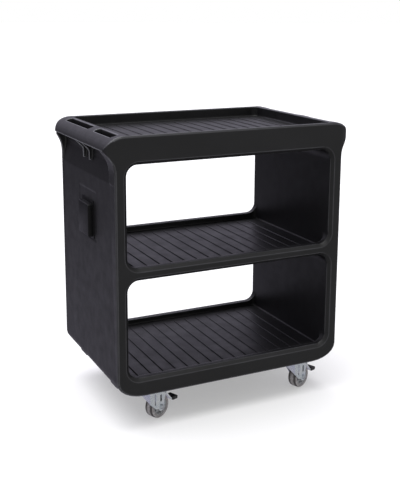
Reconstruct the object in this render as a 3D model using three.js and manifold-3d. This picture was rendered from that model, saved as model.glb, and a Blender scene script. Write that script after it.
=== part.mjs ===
// Three-shelf food service trolley: a one-piece moulded body with a ribbed tray, two open bays,
// a push handle at each end and four swivel casters, the two front ones braked.
// Millimetres, +Z up, origin on the floor under the middle of the body, length along X.
import * as THREE from 'three';
import { mergeVertices } from 'three/addons/utils/BufferGeometryUtils.js';
import Module from 'manifold-3d';

// Body, overall
const LENGTH = 816; // over the two handles
const DEPTH = 500;
const HEIGHT = 890;
const END_X = 380; // outer face of each end panel
const BODY_BOTTOM = 108.3;
const FACE_EDGE = 5; // rounding between the front or rear face and the sides
const PLAN_CORNER = 35; // handle corners seen from above
const FOOT_RUN = 85; // lower corner of the end panel: run along X
const FOOT_RISE = 52; // and rise along Z

// Shoulder and push handle
const CREST_X = 354;
const HANDLE_NOSE_Z = 848;
const COVE_BOTTOM_Z = 780;
const GRIP = { wallX: 366, y: [-200, 236], bottom: 734, deep: 806, top: 846 };
const GUSSET = { y: 27, thick: 4, bottom: 790, edgeX: 380 };

// Bays and decks
const BAY_HALF_X = 342;
const BAY_CORNER = 34;
const BAY_CHAMFER = 11;
const LOWER_BAY = { bottom: 166, top: 465, deck: 146 };
const UPPER_BAY = { bottom: 503, top: 805, deck: 481 };
const DECK_HALF_Y = 222;
const TRAY = { deck: 856, halfX: 344, halfY: 238, corner: 22 };
const RIB_PITCH = 41.4;
const RIB_SIDE_COUNT = 7; // ribs each side of the middle one
const RIB_WIDTH = 4.6;
const RIB_HEIGHT = 3;
const RIB_HALF_Y = 194;

// Tool slots in the shoulders
const SLOT_X = [355.5, 378];
const SLOT_Y = [[-218, -70], [-26, 196]];
const SLOT_FLOOR_Z = 858;

// Hanger block on each end panel
const PAD = { halfY: 78, z: [547, 700], depth: 2 };
const BLOCK = {
  flangeHalfY: 54, flangeZ: [551, 669], flangeThick: 3, bossHalfY: 47, bossZ: [557, 658], proud: 13,
};

// Underside
const NUB = { y: 142, halfY: 27, x: [338, 356], top: 128 };
const BELLY = { halfX: 170, halfY: 205, rise: 12 };

// Casters
const CASTER_X = 256;
const CASTER_Y = 192;
const CASTER_TURN = THREE.MathUtils.degToRad(23.2);
const TRAIL = 30;
const WHEEL_RADIUS = 38;
const TREAD_WIDTH = 32;
const CORE_RADIUS = 27;
const PLATE = { x: 95, y: 67, thick: 3, top: 108, boltX: 37.5, boltY: 22.5 };
const BOLT = { radius: 4, headRadius: 6.6, head: 5, holeRadius: 4.4, reach: 130 };
const CROWN = { top: 98.5, thick: 3.5, radius: 24 };
const CHEEK = { inner: 17.8, thick: 2.6 };
const KINGPIN_RADIUS = 5;
const AXLE_RADIUS = 4;
const BRAKE_PIN = { t: 47, z: 80, radius: 2 };
const GAP = 0.3;

const wasm = await Module();
wasm.setup();

function toSolid(geometry) {
  const bare = geometry.index ? geometry.toNonIndexed() : geometry.clone();
  bare.deleteAttribute('normal');
  bare.deleteAttribute('uv');
  const merged = mergeVertices(bare, 1e-4);
  const mesh = new wasm.Mesh({
    numProp: 3,
    vertProperties: new Float32Array(merged.attributes.position.array),
    triVerts: new Uint32Array(merged.index.array),
  });
  return new wasm.Manifold(mesh);
}

function toGeometry(solid) {
  const mesh = solid.getMesh();
  const geometry = new THREE.BufferGeometry();
  geometry.setAttribute('position', new THREE.BufferAttribute(new Float32Array(mesh.vertProperties), 3));
  geometry.setIndex(new THREE.BufferAttribute(new Uint32Array(mesh.triVerts), 1));
  geometry.computeVertexNormals();
  return geometry;
}

function joined(solids) {
  return solids.reduce((sum, solid) => sum.add(solid));
}

function cut(solid, tools) {
  return tools.reduce((rest, tool) => rest.subtract(tool), solid);
}

function block(x0, x1, y0, y1, z0, z1) {
  const geometry = new THREE.BoxGeometry(x1 - x0, y1 - y0, z1 - z0);
  geometry.translate((x0 + x1) / 2, (y0 + y1) / 2, (z0 + z1) / 2);
  return toSolid(geometry);
}

// Upright cylinder or prism between two heights.
function post(radius, z0, z1, x = 0, y = 0, sides = 20) {
  const geometry = new THREE.CylinderGeometry(radius, radius, z1 - z0, sides);
  geometry.rotateX(Math.PI / 2);
  geometry.translate(x, y, (z0 + z1) / 2);
  return toSolid(geometry);
}

// Cylinder or prism along Y through the point (x, z).
function barrel(radius, y0, y1, x, z, sides = 20) {
  const geometry = new THREE.CylinderGeometry(radius, radius, y1 - y0, sides);
  geometry.translate(x, (y0 + y1) / 2, z);
  return toSolid(geometry);
}

// Shape drawn in X and Z, given its thickness along Y.
function slab(shape, y0, y1, options = {}) {
  const geometry = new THREE.ExtrudeGeometry(shape, {
    depth: y1 - y0, bevelEnabled: false, curveSegments: 6, ...options,
  });
  geometry.rotateX(Math.PI / 2);
  geometry.translate(0, y1, 0);
  return toSolid(geometry);
}

// Shape drawn in X and Y, raised between two heights.
function tile(shape, z0, z1) {
  const options = { depth: z1 - z0, bevelEnabled: false, curveSegments: 5 };
  const geometry = new THREE.ExtrudeGeometry(shape, options);
  geometry.translate(0, 0, z0);
  return toSolid(geometry);
}

// Ring or disc turned about Z from [radius, z] points; a first point repeated last closes a ring.
function turned(points, segments) {
  const profile = points.map(([radius, z]) => new THREE.Vector2(radius, z));
  const geometry = new THREE.LatheGeometry(profile, segments);
  geometry.rotateX(Math.PI / 2);
  return toSolid(geometry);
}

function roundedRectangle(x0, x1, y0, y1, radius) {
  const shape = new THREE.Shape();
  shape.moveTo(x0 + radius, y0);
  shape.lineTo(x1 - radius, y0);
  shape.absarc(x1 - radius, y0 + radius, radius, -Math.PI / 2, 0);
  shape.lineTo(x1, y1 - radius);
  shape.absarc(x1 - radius, y1 - radius, radius, 0, Math.PI / 2);
  shape.lineTo(x0 + radius, y1);
  shape.absarc(x0 + radius, y1 - radius, radius, Math.PI / 2, Math.PI);
  shape.lineTo(x0, y0 + radius);
  shape.absarc(x0 + radius, y0 + radius, radius, Math.PI, Math.PI * 1.5);
  return shape;
}

function polygon(points) {
  return new THREE.Shape(points.map(([a, b]) => new THREE.Vector2(a, b)));
}

// Shape drawn in Y and Z, given its thickness along X.
function panel(shape, x0, x1) {
  const geometry = new THREE.ExtrudeGeometry(shape, { depth: x1 - x0, bevelEnabled: false });
  geometry.rotateX(Math.PI / 2);
  geometry.rotateZ(Math.PI / 2);
  geometry.translate(x0, 0, 0);
  return toSolid(geometry);
}

// End view outline of one half of the body, from the underside to the rim, as [x, z] points.
function halfOutline() {
  const points = [];
  for (let i = 0; i <= 6; i += 1) {
    const angle = (i / 6) * (Math.PI / 2);
    points.push([
      END_X - FOOT_RUN + FOOT_RUN * Math.sin(angle),
      BODY_BOTTOM + FOOT_RISE - FOOT_RISE * Math.cos(angle),
    ]);
  }
  const cove = new THREE.QuadraticBezierCurve(
    new THREE.Vector2(END_X, COVE_BOTTOM_Z),
    new THREE.Vector2(END_X, COVE_BOTTOM_Z + 34),
    new THREE.Vector2(LENGTH / 2 - 5, HANDLE_NOSE_Z - 9),
  );
  const shoulder = new THREE.QuadraticBezierCurve(
    new THREE.Vector2(LENGTH / 2, HANDLE_NOSE_Z),
    new THREE.Vector2(CREST_X + 41, HEIGHT - 3),
    new THREE.Vector2(CREST_X, HEIGHT),
  );
  for (const curve of [[cove, 5], [shoulder, 8]]) {
    points.push(...curve[0].getPoints(curve[1]).map((p) => [p.x, p.y]));
  }
  return points;
}

function bodyBlank() {
  const right = halfOutline();
  const left = right.map(([x, z]) => [-x, z]).reverse();
  const edge = {
    bevelEnabled: true,
    bevelThickness: FACE_EDGE,
    bevelSize: FACE_EDGE,
    bevelOffset: -FACE_EDGE,
    bevelSegments: 1,
  };
  const face = DEPTH / 2 - FACE_EDGE;
  const blank = slab(polygon([...right, ...left]), -face, face, edge);
  const plan = roundedRectangle(-LENGTH / 2, LENGTH / 2, -DEPTH / 2, DEPTH / 2, PLAN_CORNER);
  return blank.intersect(tile(plan, 0, HEIGHT + 10));
}

// Bay running right through the body, with a chamfer at both faces and a sunk deck between its lips.
function bayTools(bay) {
  const mouth = roundedRectangle(-BAY_HALF_X, BAY_HALF_X, bay.bottom, bay.top, BAY_CORNER);
  const flare = {
    bevelEnabled: true, bevelThickness: BAY_CHAMFER, bevelSize: BAY_CHAMFER, bevelSegments: 1,
  };
  const face = DEPTH / 2;
  const pocket = roundedRectangle(-BAY_HALF_X, BAY_HALF_X, -DECK_HALF_Y, DECK_HALF_Y, 14);
  return [
    slab(mouth, -face - 1, face + 1),
    slab(mouth, -face - 4, -face, flare),
    slab(mouth, face, face + 4, flare),
    tile(pocket, bay.deck, bay.bottom + BAY_CORNER),
  ];
}

function deckRibs(deckZ) {
  const ribs = [];
  for (let i = -RIB_SIDE_COUNT; i <= RIB_SIDE_COUNT; i += 1) {
    const x = i * RIB_PITCH;
    const ridge = polygon([
      [x - RIB_WIDTH / 2, deckZ - 1], [x + RIB_WIDTH / 2, deckZ - 1],
      [x + RIB_WIDTH / 2 - 1, deckZ + RIB_HEIGHT], [x - RIB_WIDTH / 2 + 1, deckZ + RIB_HEIGHT],
    ]);
    ribs.push(slab(ridge, -RIB_HALF_Y, RIB_HALF_Y));
  }
  return ribs;
}

// Two distances from the middle of the body as a span of X at one end, lower value first.
function spanX(side, near, far) {
  return side < 0 ? [-far, -near] : [near, far];
}

// Everything cut at one end; side is -1 for the left end and 1 for the right.
function endTools(side) {
  const outside = LENGTH / 2 + 10;
  const grip = polygon([
    [side * GRIP.wallX, GRIP.top], [side * GRIP.wallX, GRIP.deep], [side * END_X, GRIP.bottom],
    [side * outside, GRIP.bottom], [side * outside, GRIP.top],
  ]);
  const [padA, padB] = spanX(side, END_X - PAD.depth, END_X + 5);
  const [slotA, slotB] = spanX(side, ...SLOT_X);
  return [
    slab(grip, ...GRIP.y),
    block(padA, padB, -PAD.halfY, PAD.halfY, ...PAD.z),
    ...SLOT_Y.map(([y0, y1]) => tile(roundedRectangle(slotA, slotB, y0, y1, 9), SLOT_FLOOR_Z, HEIGHT + 10)),
  ];
}

function handleGussets(side) {
  const web = [
    [GRIP.wallX - 2, GUSSET.bottom], [GUSSET.edgeX - 1, GUSSET.bottom],
    [GUSSET.edgeX, GUSSET.bottom + 30], [LENGTH / 2 - 6, GRIP.top - 3],
    [LENGTH / 2 - 6, GRIP.top + 2], [GRIP.wallX - 2, GRIP.top + 2],
  ];
  const shape = polygon(web.map(([x, z]) => [side * x, z]));
  const half = GUSSET.thick / 2;
  return [-GUSSET.y, GUSSET.y].map((y) => slab(shape, y - half, y + half));
}

function nubs() {
  const solids = [];
  for (const side of [-1, 1]) {
    for (const y of [-NUB.y, NUB.y]) {
      const edge = polygon([
        [side * NUB.x[0], BODY_BOTTOM], [side * (NUB.x[1] - 7), BODY_BOTTOM],
        [side * (NUB.x[1] - 2), BODY_BOTTOM + 2], [side * NUB.x[1], BODY_BOTTOM + 7],
        [side * NUB.x[1], NUB.top], [side * NUB.x[0], NUB.top],
      ]);
      solids.push(slab(edge, y - NUB.halfY, y + NUB.halfY));
    }
  }
  return solids;
}

// The places of one caster's four plate bolts, seen from the caster's pivot.
const BOLT_PLACES = [
  [-PLATE.boltX, -PLATE.boltY], [PLATE.boltX, -PLATE.boltY],
  [-PLATE.boltX, PLATE.boltY], [PLATE.boltX, PLATE.boltY],
];

function boltHoles() {
  const holes = [];
  for (const cx of [-CASTER_X, CASTER_X]) {
    for (const cy of [-CASTER_Y, CASTER_Y]) {
      for (const [x, y] of BOLT_PLACES) {
        holes.push(post(BOLT.holeRadius, BODY_BOTTOM - 5, BOLT.reach + 2, cx + x, cy + y, 8));
      }
    }
  }
  return holes;
}

function bodyShell() {
  const tray = roundedRectangle(-TRAY.halfX, TRAY.halfX, -TRAY.halfY, TRAY.halfY, TRAY.corner);
  const belly = roundedRectangle(-BELLY.halfX, BELLY.halfX, -BELLY.halfY, BELLY.halfY, 20);
  const hollowed = cut(bodyBlank(), [
    ...bayTools(LOWER_BAY),
    ...bayTools(UPPER_BAY),
    tile(tray, TRAY.deck, HEIGHT + 10),
    tile(belly, BODY_BOTTOM - 10, BODY_BOTTOM + BELLY.rise),
    ...endTools(-1),
    ...endTools(1),
  ]);
  const fitted = joined([
    hollowed,
    ...deckRibs(LOWER_BAY.deck),
    ...deckRibs(UPPER_BAY.deck),
    ...deckRibs(TRAY.deck),
    ...handleGussets(-1),
    ...handleGussets(1),
    ...nubs(),
  ]);
  return cut(fitted, boltHoles());
}

function hangerBlock(side) {
  const seat = END_X - PAD.depth + GAP;
  const flangeX = spanX(side, seat, seat + BLOCK.flangeThick);
  const bossX = spanX(side, seat + 1, END_X + BLOCK.proud);
  const flange = block(...flangeX, -BLOCK.flangeHalfY, BLOCK.flangeHalfY, ...BLOCK.flangeZ);
  const boss = block(...bossX, -BLOCK.bossHalfY, BLOCK.bossHalfY, ...BLOCK.bossZ);
  return flange.add(boss);
}

function mountPlate() {
  const bottom = PLATE.top - PLATE.thick;
  const blank = tile(
    roundedRectangle(-PLATE.x / 2, PLATE.x / 2, -PLATE.y / 2, PLATE.y / 2, 8),
    bottom,
    PLATE.top,
  );
  const race = post(21, bottom - 2.4, bottom + 1, 0, 0, 20);
  return cut(blank.add(race), [
    post(KINGPIN_RADIUS + GAP, bottom - 5, PLATE.top + 1, 0, 0, 16),
    ...BOLT_PLACES.map(([x, y]) => post(BOLT.holeRadius, bottom - 5, PLATE.top + 1, x, y, 8)),
  ]);
}

function ballRace() {
  const middle = (PLATE.top - PLATE.thick - 2.4 + CROWN.top) / 2;
  const half = (PLATE.top - PLATE.thick - 2.4 - CROWN.top) / 2 - GAP;
  const ring = [];
  for (let i = 0; i < 6; i += 1) {
    const angle = (i / 6) * Math.PI * 2;
    ring.push([14 + 2.6 * Math.cos(angle), middle + half * Math.sin(angle)]);
  }
  return turned([...ring, ring[0]], 16);
}

function kingpin() {
  const headTop = CROWN.top - CROWN.thick - GAP;
  const shank = post(KINGPIN_RADIUS, headTop - 1, PLATE.top - GAP, 0, 0, 16);
  return shank.add(post(9, headTop - 5, headTop, 0, 0, 16));
}

// Pressed fork: a crown, two cheeks and a slanted leading guard that runs down to the near cheek;
// local X points the way the wheel trails.
function fork(braked) {
  const crownBottom = CROWN.top - CROWN.thick;
  const outer = CHEEK.inner + CHEEK.thick;
  const shoulder = CROWN.top - 1;
  const ear = braked
    ? [[50, 86], [53.5, 82], [52.5, 77], [49, 73.5]]
    : [[30, 93], [38, 84]];
  const rear = [[24, shoulder], ...ear, [42.5, 46], [43, 38], [39.5, 29], [30, 25.2], [21, 28.5]];
  const farCheek = polygon([[-20, shoulder], ...rear, [17.5, 36], [-20, 84]]);
  const nearCheek = polygon([[-20, shoulder], ...rear, [4, 38], [-20, 61]]);
  const guard = polygon([[-outer, shoulder], [-outer, 61], [outer, 84], [outer, shoulder]]);
  const blank = joined([
    post(CROWN.radius, crownBottom, CROWN.top, 0, 0, 20),
    block(-20, 24, -outer, outer, crownBottom, CROWN.top - 0.6),
    slab(nearCheek, -outer, -CHEEK.inner),
    slab(farCheek, CHEEK.inner, outer),
    panel(guard, -20, -20 + CHEEK.thick),
  ]);
  const holes = [
    post(KINGPIN_RADIUS + GAP, crownBottom - 2, CROWN.top + 2, 0, 0, 16),
    barrel(AXLE_RADIUS + GAP, -outer - 5, outer + 5, TRAIL, WHEEL_RADIUS, 16),
  ];
  if (braked) {
    holes.push(barrel(BRAKE_PIN.radius + GAP, -outer - 5, outer + 5, BRAKE_PIN.t, BRAKE_PIN.z, 12));
  }
  return cut(blank, holes);
}

function axleBolt() {
  const outer = CHEEK.inner + CHEEK.thick + GAP;
  const shank = barrel(AXLE_RADIUS, -outer - 1, outer + 7.5, TRAIL, WHEEL_RADIUS, 16);
  return shank.add(barrel(7.4, -outer - 5, -outer, TRAIL, WHEEL_RADIUS, 6));
}

function axleNut() {
  const outer = CHEEK.inner + CHEEK.thick + GAP;
  const nut = barrel(7.4, outer, outer + 6.5, TRAIL, WHEEL_RADIUS, 6);
  return nut.subtract(barrel(AXLE_RADIUS + GAP, outer - 2, outer + 9, TRAIL, WHEEL_RADIUS, 16));
}

// Pieces turned about Z are laid over so that their axis is the axle's.
function onAxle(solid) {
  const geometry = toGeometry(solid);
  geometry.rotateX(Math.PI / 2);
  geometry.translate(TRAIL, 0, WHEEL_RADIUS);
  return toSolid(geometry);
}

function wheelCore() {
  const bore = AXLE_RADIUS + GAP;
  return onAxle(turned([
    [bore, -17], [10.5, -17], [11.5, -11], [21, -9.5], [CORE_RADIUS, -14],
    [CORE_RADIUS, 14], [21, 9.5], [11.5, 11], [10.5, 17], [bore, 17], [bore, -17],
  ], 24));
}

function tread() {
  const inside = CORE_RADIUS + GAP;
  const half = TREAD_WIDTH / 2;
  return onAxle(turned([
    [inside, -half + 1], [34.5, -half], [37.2, -half + 2.5], [WHEEL_RADIUS, -half + 7],
    [WHEEL_RADIUS, half - 7], [37.2, half - 2.5], [34.5, half], [inside, half - 1],
    [inside, -half + 1],
  ], 32));
}

function brakePin() {
  const end = CHEEK.inner + CHEEK.thick + 1.2;
  return barrel(BRAKE_PIN.radius, -end, end, BRAKE_PIN.t, BRAKE_PIN.z, 12);
}

// Pressed pedal arm, rolled round its pin, dropping behind the wheel to a short foot plate.
function brakeLever() {
  const arm = polygon([
    [48, 83.5], [52, 81.5], [80.2, 45.3], [105.2, 43.8],
    [105.2, 41.2], [79.2, 42.6], [49.5, 78], [46, 81],
  ]);
  const blank = joined([
    barrel(4.4, -15, 15, BRAKE_PIN.t, BRAKE_PIN.z, 16),
    slab(arm, -12, 12),
  ]);
  return blank.subtract(barrel(BRAKE_PIN.radius + GAP, -20, 20, BRAKE_PIN.t, BRAKE_PIN.z, 12));
}

// Moulded sleeve that slips over the end of the foot plate.
function pedalPad() {
  const sleeve = polygon([
    [85.2, 47.8], [88.2, 49], [107.2, 47.8], [109.2, 44.8],
    [108.6, 38.8], [106.2, 36.4], [87.2, 37.6], [84.8, 40.3],
  ]);
  const foot = polygon([
    [79.2, 46], [105.6, 44.2], [105.6, 40.8], [79.2, 42.2],
  ]);
  return slab(sleeve, -15, 15).subtract(slab(foot, -12.3, 12.3));
}

function plateBolt() {
  const headTop = PLATE.top - PLATE.thick - GAP;
  const shank = post(BOLT.radius, headTop - 1, BOLT.reach, 0, 0, 8);
  return shank.add(post(BOLT.headRadius, headTop - BOLT.head, headTop, 0, 0, 6));
}

function material(color, roughness, metalness) {
  return () => new THREE.MeshStandardMaterial({ color, roughness, metalness });
}

const polyethylene = material(0x1d1d1f, 0.55, 0);
const blockPlastic = material(0x19191b, 0.5, 0);
const zinc = material(0xb9bfc9, 0.35, 0.9);
const steel = material(0x9ea3aa, 0.4, 0.9);
const corePlastic = material(0xa9abb0, 0.5, 0);
const rubber = material(0x5a5652, 0.8, 0);
const padPlastic = material(0x161616, 0.6, 0);

function piece(name, solid, makeMaterial) {
  const mesh = new THREE.Mesh(toGeometry(solid), makeMaterial());
  mesh.name = name;
  return mesh;
}

function caster(name, x, y, braked) {
  const stand = new THREE.Group();
  stand.position.set(x, y, 0);
  stand.add(piece(`${name}_mount_plate`, mountPlate(), zinc));
  stand.add(piece(`${name}_kingpin`, kingpin(), steel));
  BOLT_PLACES.forEach(([bx, by], i) => {
    const bolt = piece(`${name}_plate_bolt_${i + 1}`, plateBolt(), steel);
    bolt.position.set(bx, by, 0);
    stand.add(bolt);
  });
  const swivel = new THREE.Group();
  swivel.rotation.z = CASTER_TURN;
  swivel.add(piece(`${name}_ball_race`, ballRace(), steel));
  swivel.add(piece(`${name}_fork`, fork(braked), zinc));
  swivel.add(piece(`${name}_axle_bolt`, axleBolt(), steel));
  swivel.add(piece(`${name}_axle_nut`, axleNut(), steel));
  swivel.add(piece(`${name}_wheel_core`, wheelCore(), corePlastic));
  swivel.add(piece(`${name}_tread`, tread(), rubber));
  if (braked) {
    swivel.add(piece(`${name}_brake_pin`, brakePin(), steel));
    swivel.add(piece(`${name}_brake_lever`, brakeLever(), zinc));
    swivel.add(piece(`${name}_pedal_pad`, pedalPad(), padPlastic));
  }
  stand.add(swivel);
  return stand;
}

const group = new THREE.Group();
group.add(piece('body_shell', bodyShell(), polyethylene));
group.add(piece('hanger_block_left', hangerBlock(-1), blockPlastic));
group.add(piece('hanger_block_right', hangerBlock(1), blockPlastic));
group.add(caster('front_left', -CASTER_X, -CASTER_Y, true));
group.add(caster('front_right', CASTER_X, -CASTER_Y, true));
group.add(caster('rear_left', -CASTER_X, CASTER_Y, false));
group.add(caster('rear_right', CASTER_X, CASTER_Y, false));

export default group;
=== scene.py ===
import math

import bmesh
import bpy
import numpy as np
from mathutils import Matrix, Vector


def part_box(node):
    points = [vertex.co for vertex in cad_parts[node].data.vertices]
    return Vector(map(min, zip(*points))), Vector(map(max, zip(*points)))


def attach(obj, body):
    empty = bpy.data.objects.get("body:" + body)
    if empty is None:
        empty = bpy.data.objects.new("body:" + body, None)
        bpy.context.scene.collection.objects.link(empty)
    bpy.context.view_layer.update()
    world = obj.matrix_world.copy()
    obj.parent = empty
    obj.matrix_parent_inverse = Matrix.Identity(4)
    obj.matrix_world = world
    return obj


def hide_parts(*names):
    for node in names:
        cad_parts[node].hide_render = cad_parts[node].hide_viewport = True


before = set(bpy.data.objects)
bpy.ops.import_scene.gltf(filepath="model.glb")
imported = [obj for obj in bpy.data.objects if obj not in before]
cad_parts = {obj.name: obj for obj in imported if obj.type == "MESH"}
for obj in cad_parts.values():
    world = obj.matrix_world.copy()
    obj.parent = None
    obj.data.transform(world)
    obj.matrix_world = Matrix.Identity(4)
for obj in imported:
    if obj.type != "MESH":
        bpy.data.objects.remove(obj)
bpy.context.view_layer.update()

MM = 0.001

# ---------------------------------------------------------------- body, from the frame
FACE_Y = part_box("body_shell")[1].y  # half the depth
END_X = 0.380  # outer face of an end panel
# The end panel's field: height, how far it lies behind the front frame edge, and where it
# meets the frame at the front and at the rear.
FIELD_SECTIONS = [
    (0.135, 0.0004, -0.239, 0.2420),
    (0.430, 0.0022, -0.216, 0.2415),
    (0.715, 0.0034, -0.201, 0.2400),
    (0.750, 0.0030, -0.201, 0.2400),
]
PAD_HALF_Y, PAD_LOW, PAD_HIGH = 0.078, 0.547, 0.700
PAD_X = 0.3755  # floor of the pad
FIELD_RIM = 0.006  # the field's cutter ends this far before the front and back faces
FIELD_EDGE_GAP = 0.0002
CUTTER_REACH = 0.006  # how far a cutter stands out of the panel that it cuts
MERGE_DISTANCE = 1e-5
VOXEL, QUICK_VOXEL = 0.0022, 0.0045
SMOOTH_PASSES, QUICK_SMOOTH_PASSES = 3, 2
KEPT_SHARE, QUICK_KEPT_SHARE = 0.20, 0.5
FULL_BULGE = 140.0  # bend, in radians a metre, that counts as a full edge

# ---------------------------------------------------------------- ribs
DECKS = {"lower": 0.146, "middle": 0.481, "tray": 0.856}
RIB_PITCH = 0.0414
RIB_SIDE_COUNT = 7
RIB_HALF_Y = 0.194
RIB_WIDTH = 0.0062
RIB_HEIGHT = 0.0030
RIB_SUNK, RIB_ROUND_SUNK = 0.0010, 0.0002  # foot of a rib, and of its round, below the deck
RIB_END_STEPS, RIB_ROUND_STEPS = 4, 8
RIB_TIP_SHARE = 0.12  # width of a rib's very end, as a share of its full width
RIB_CUT_HEIGHT, RIB_CUT_SKIM = 0.006, 0.00005
RIB_CUT_MARGIN_X, RIB_CUT_MARGIN_Y = 0.006, 0.004

# ---------------------------------------------------------------- hanger blocks
FLANGE_BACK, FLANGE_FRONT = PAD_X - 0.0005, PAD_X + 0.0026
BOSS_LOW, BOSS_HIGH = 0.557, 0.658
BOSS_ROOT, BOSS_ROOT_HALF_Y, BOSS_ROOT_GROWTH = PAD_X + 0.0010, 0.0475, 0.0008
BOSS_TIP_HALF_Y, BOSS_TIP_SHRINK = 0.0455, 0.0010
BLOCK_INSET = 0.001  # from the outer face of the CAD block

# ---------------------------------------------------------------- casters, local frame in mm
CASTER_TURN = math.radians(23.2)
CASTER_PLACES = {
    "front_left": (-0.256, -0.192),
    "front_right": (0.256, -0.192),
    "rear_left": (-0.256, 0.192),
    "rear_right": (0.256, 0.192),
}
TRAIL, AXLE_Z = 30.0, 38.0
WHEEL_RADIUS = 38.0
CHEEK_IN, CHEEK_THICK = 17.8, 2.6
CHEEK_OUT = CHEEK_IN + CHEEK_THICK
AXLE_SEAT = CHEEK_OUT + 1.0  # face under the axle's head and nut
AXLE_RADIUS, AXLE_BORE, NUT_BORE = 4, 4.4, 4.3
HEAD_RADIUS = 7.4  # of the axle's head and nut, over the corners
PLATE_TOP, PLATE_THICK = 108.0, 3.0
PLATE_BOTTOM = PLATE_TOP - PLATE_THICK
PLATE_HALF_X, PLATE_HALF_Y, PLATE_CORNER = 47.5, 33.5, 8
PLATE_BORE, FORK_BORE, KINGPIN_RADIUS = 5.6, 5.5, 5.0
RACE_TOP = PLATE_BOTTOM - 2.4
BOLT_END = 130.0
BOLT_X, BOLT_Y = 37.5, 22.5
CROWN_TOP, CROWN_THICK = 98.5, 3.5
CROWN_BOTTOM = CROWN_TOP - CROWN_THICK
SHOULDER = CROWN_TOP - 1  # top of the cheeks and the guard
BRAKE_PIN_X, BRAKE_PIN_Z = 47.0, 80.0
BRAKE_PIN_RADIUS, PIN_HEAD_RADIUS, PIN_HOLE, LEVER_BORE = 2, 3, 2.4, 2.3
GUARD_X = -20.0
GUARD_LOW, GUARD_HIGH = 61, 84  # its lower edge at the near and at the far cheek
FORK_HALF_X = 24
NEAR_LEADING = [(17, 34.5), (4, 38), (GUARD_X, GUARD_LOW)]
FAR_LEADING = [(17.5, 36), (GUARD_X, GUARD_HIGH)]
THROUGH = 30  # half length of a cutter that crosses the whole caster
ROUND, SMALL_ROUND, TREAD_ROUND = 64, 32, 96  # facets of turned pieces
SPOKES = 5
FINISHES = {}  # material by slot name

# ---------------------------------------------------------------- studio
NEUTRAL, LILAC = (1.0, 1.0, 1.0), (0.86, 0.82, 1.0)
FRONT_WALL = (0.40, 0.60)  # strength below and above
FRONT_RISE = (-0.45, 0.30)  # the front wall goes from one strength to the other over these
ABOVE = (0.10, 0.28, 0.08, 0.85)  # back wall: from and to this height, strength there
BELOW = (-0.34, -0.12, 0.42, 0.08)
BEHIND = (-0.3, 0.35)  # where the front wall gives way to the back wall
OVERHEAD, OVERHEAD_ANGLE = 2.9, 60
OVERHEAD_PLACE = (-0.5, 0.2, 3.0)
FLOOR_RADIUS = 60.0
FLOOR_GLOW = 0.35  # keeps the shadow under the trolley pale

# ---------------------------------------------------------------- camera
SENSOR = 36.0
LENS, SHIFT_Y = 64.57, -0.124
CAMERA_PLACE = (-1.2001, -2.4662, 1.2423)
CAMERA_YAW, CAMERA_PITCH, CAMERA_ROLL = 26.03, 11.45, 0.23  # degrees


# ================================================================ mesh tools
def new_object(name, mesh):
    obj = bpy.data.objects.new(name, mesh)
    bpy.context.scene.collection.objects.link(obj)
    return obj


def object_from(bm, name):
    """Object of a built mesh, its faces turned outwards."""
    bmesh.ops.recalc_face_normals(bm, faces=bm.faces)
    mesh = bpy.data.meshes.new(name)
    bm.to_mesh(mesh)
    bm.free()
    return new_object(name, mesh)


def bake_modifiers(obj):
    """Replaces obj's mesh by what its modifiers make of it."""
    graph = bpy.context.evaluated_depsgraph_get()
    mesh = bpy.data.meshes.new_from_object(obj.evaluated_get(graph))
    old = obj.data
    obj.modifiers.clear()
    obj.data = mesh
    bpy.data.meshes.remove(old)
    return obj


def combine(obj, others, operation):
    """Joins others to obj, or cuts them from it."""
    for other in others:
        modifier = obj.modifiers.new("combine", "BOOLEAN")
        modifier.operation = operation
        modifier.solver = "EXACT"
        modifier.object = other
    bake_modifiers(obj)
    for other in others:
        bpy.data.objects.remove(other)
    return obj


def merged(objects, name):
    """One object of several, each closed shape kept as it is."""
    bm = bmesh.new()
    for obj in objects:
        piece = obj.data
        piece.transform(obj.matrix_world)
        bm.from_mesh(piece)
        bpy.data.objects.remove(obj)
    return object_from(bm, name)


def soften(obj, width, segments=2, angle=32):
    """Rounds obj's edges."""
    modifier = obj.modifiers.new("soften", "BEVEL")
    modifier.width = width * MM
    modifier.segments = segments
    modifier.limit_method = "ANGLE"
    modifier.angle_limit = math.radians(angle)
    modifier.use_clamp_overlap = True
    return bake_modifiers(obj)


def smooth_shade(obj, angle=35):
    """Shades obj smooth but for edges sharper than angle."""
    obj.data.shade_smooth()
    obj.data.set_sharp_from_angle(angle=math.radians(angle))
    return obj


def lofted(name, sections):
    """Closed solid through rings of points, with a flat cap on the first and last."""
    bm = bmesh.new()
    rings = [[bm.verts.new(point) for point in ring] for ring in sections]
    count = len(rings[0])
    for near, far in zip(rings, rings[1:]):
        for i in range(count):
            j = (i + 1) % count
            bm.faces.new((near[i], near[j], far[j], far[i]))
    bm.faces.new(rings[0])
    bm.faces.new(rings[-1])
    return object_from(bm, name)


def box_solid(name, low, high):
    (x0, y0, z0), (x1, y1, z1) = low, high
    ring = [(x0, y0), (x1, y0), (x1, y1), (x0, y1)]
    return lofted(name, [[(x, y, z0) for x, y in ring], [(x, y, z1) for x, y in ring]])


def plate_xz(name, outline, y0, y1):
    """Outline in mm in X and Z, given its thickness along Y."""
    return lofted(name, [[(x * MM, y * MM, z * MM) for x, z in outline] for y in (y0, y1)])


def plate_xy(name, outline, z0, z1):
    return lofted(name, [[(x * MM, y * MM, z * MM) for x, y in outline] for z in (z0, z1)])


def plate_yz(name, outline, x0, x1):
    return lofted(name, [[(x * MM, y * MM, z * MM) for y, z in outline] for x in (x0, x1)])


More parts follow.
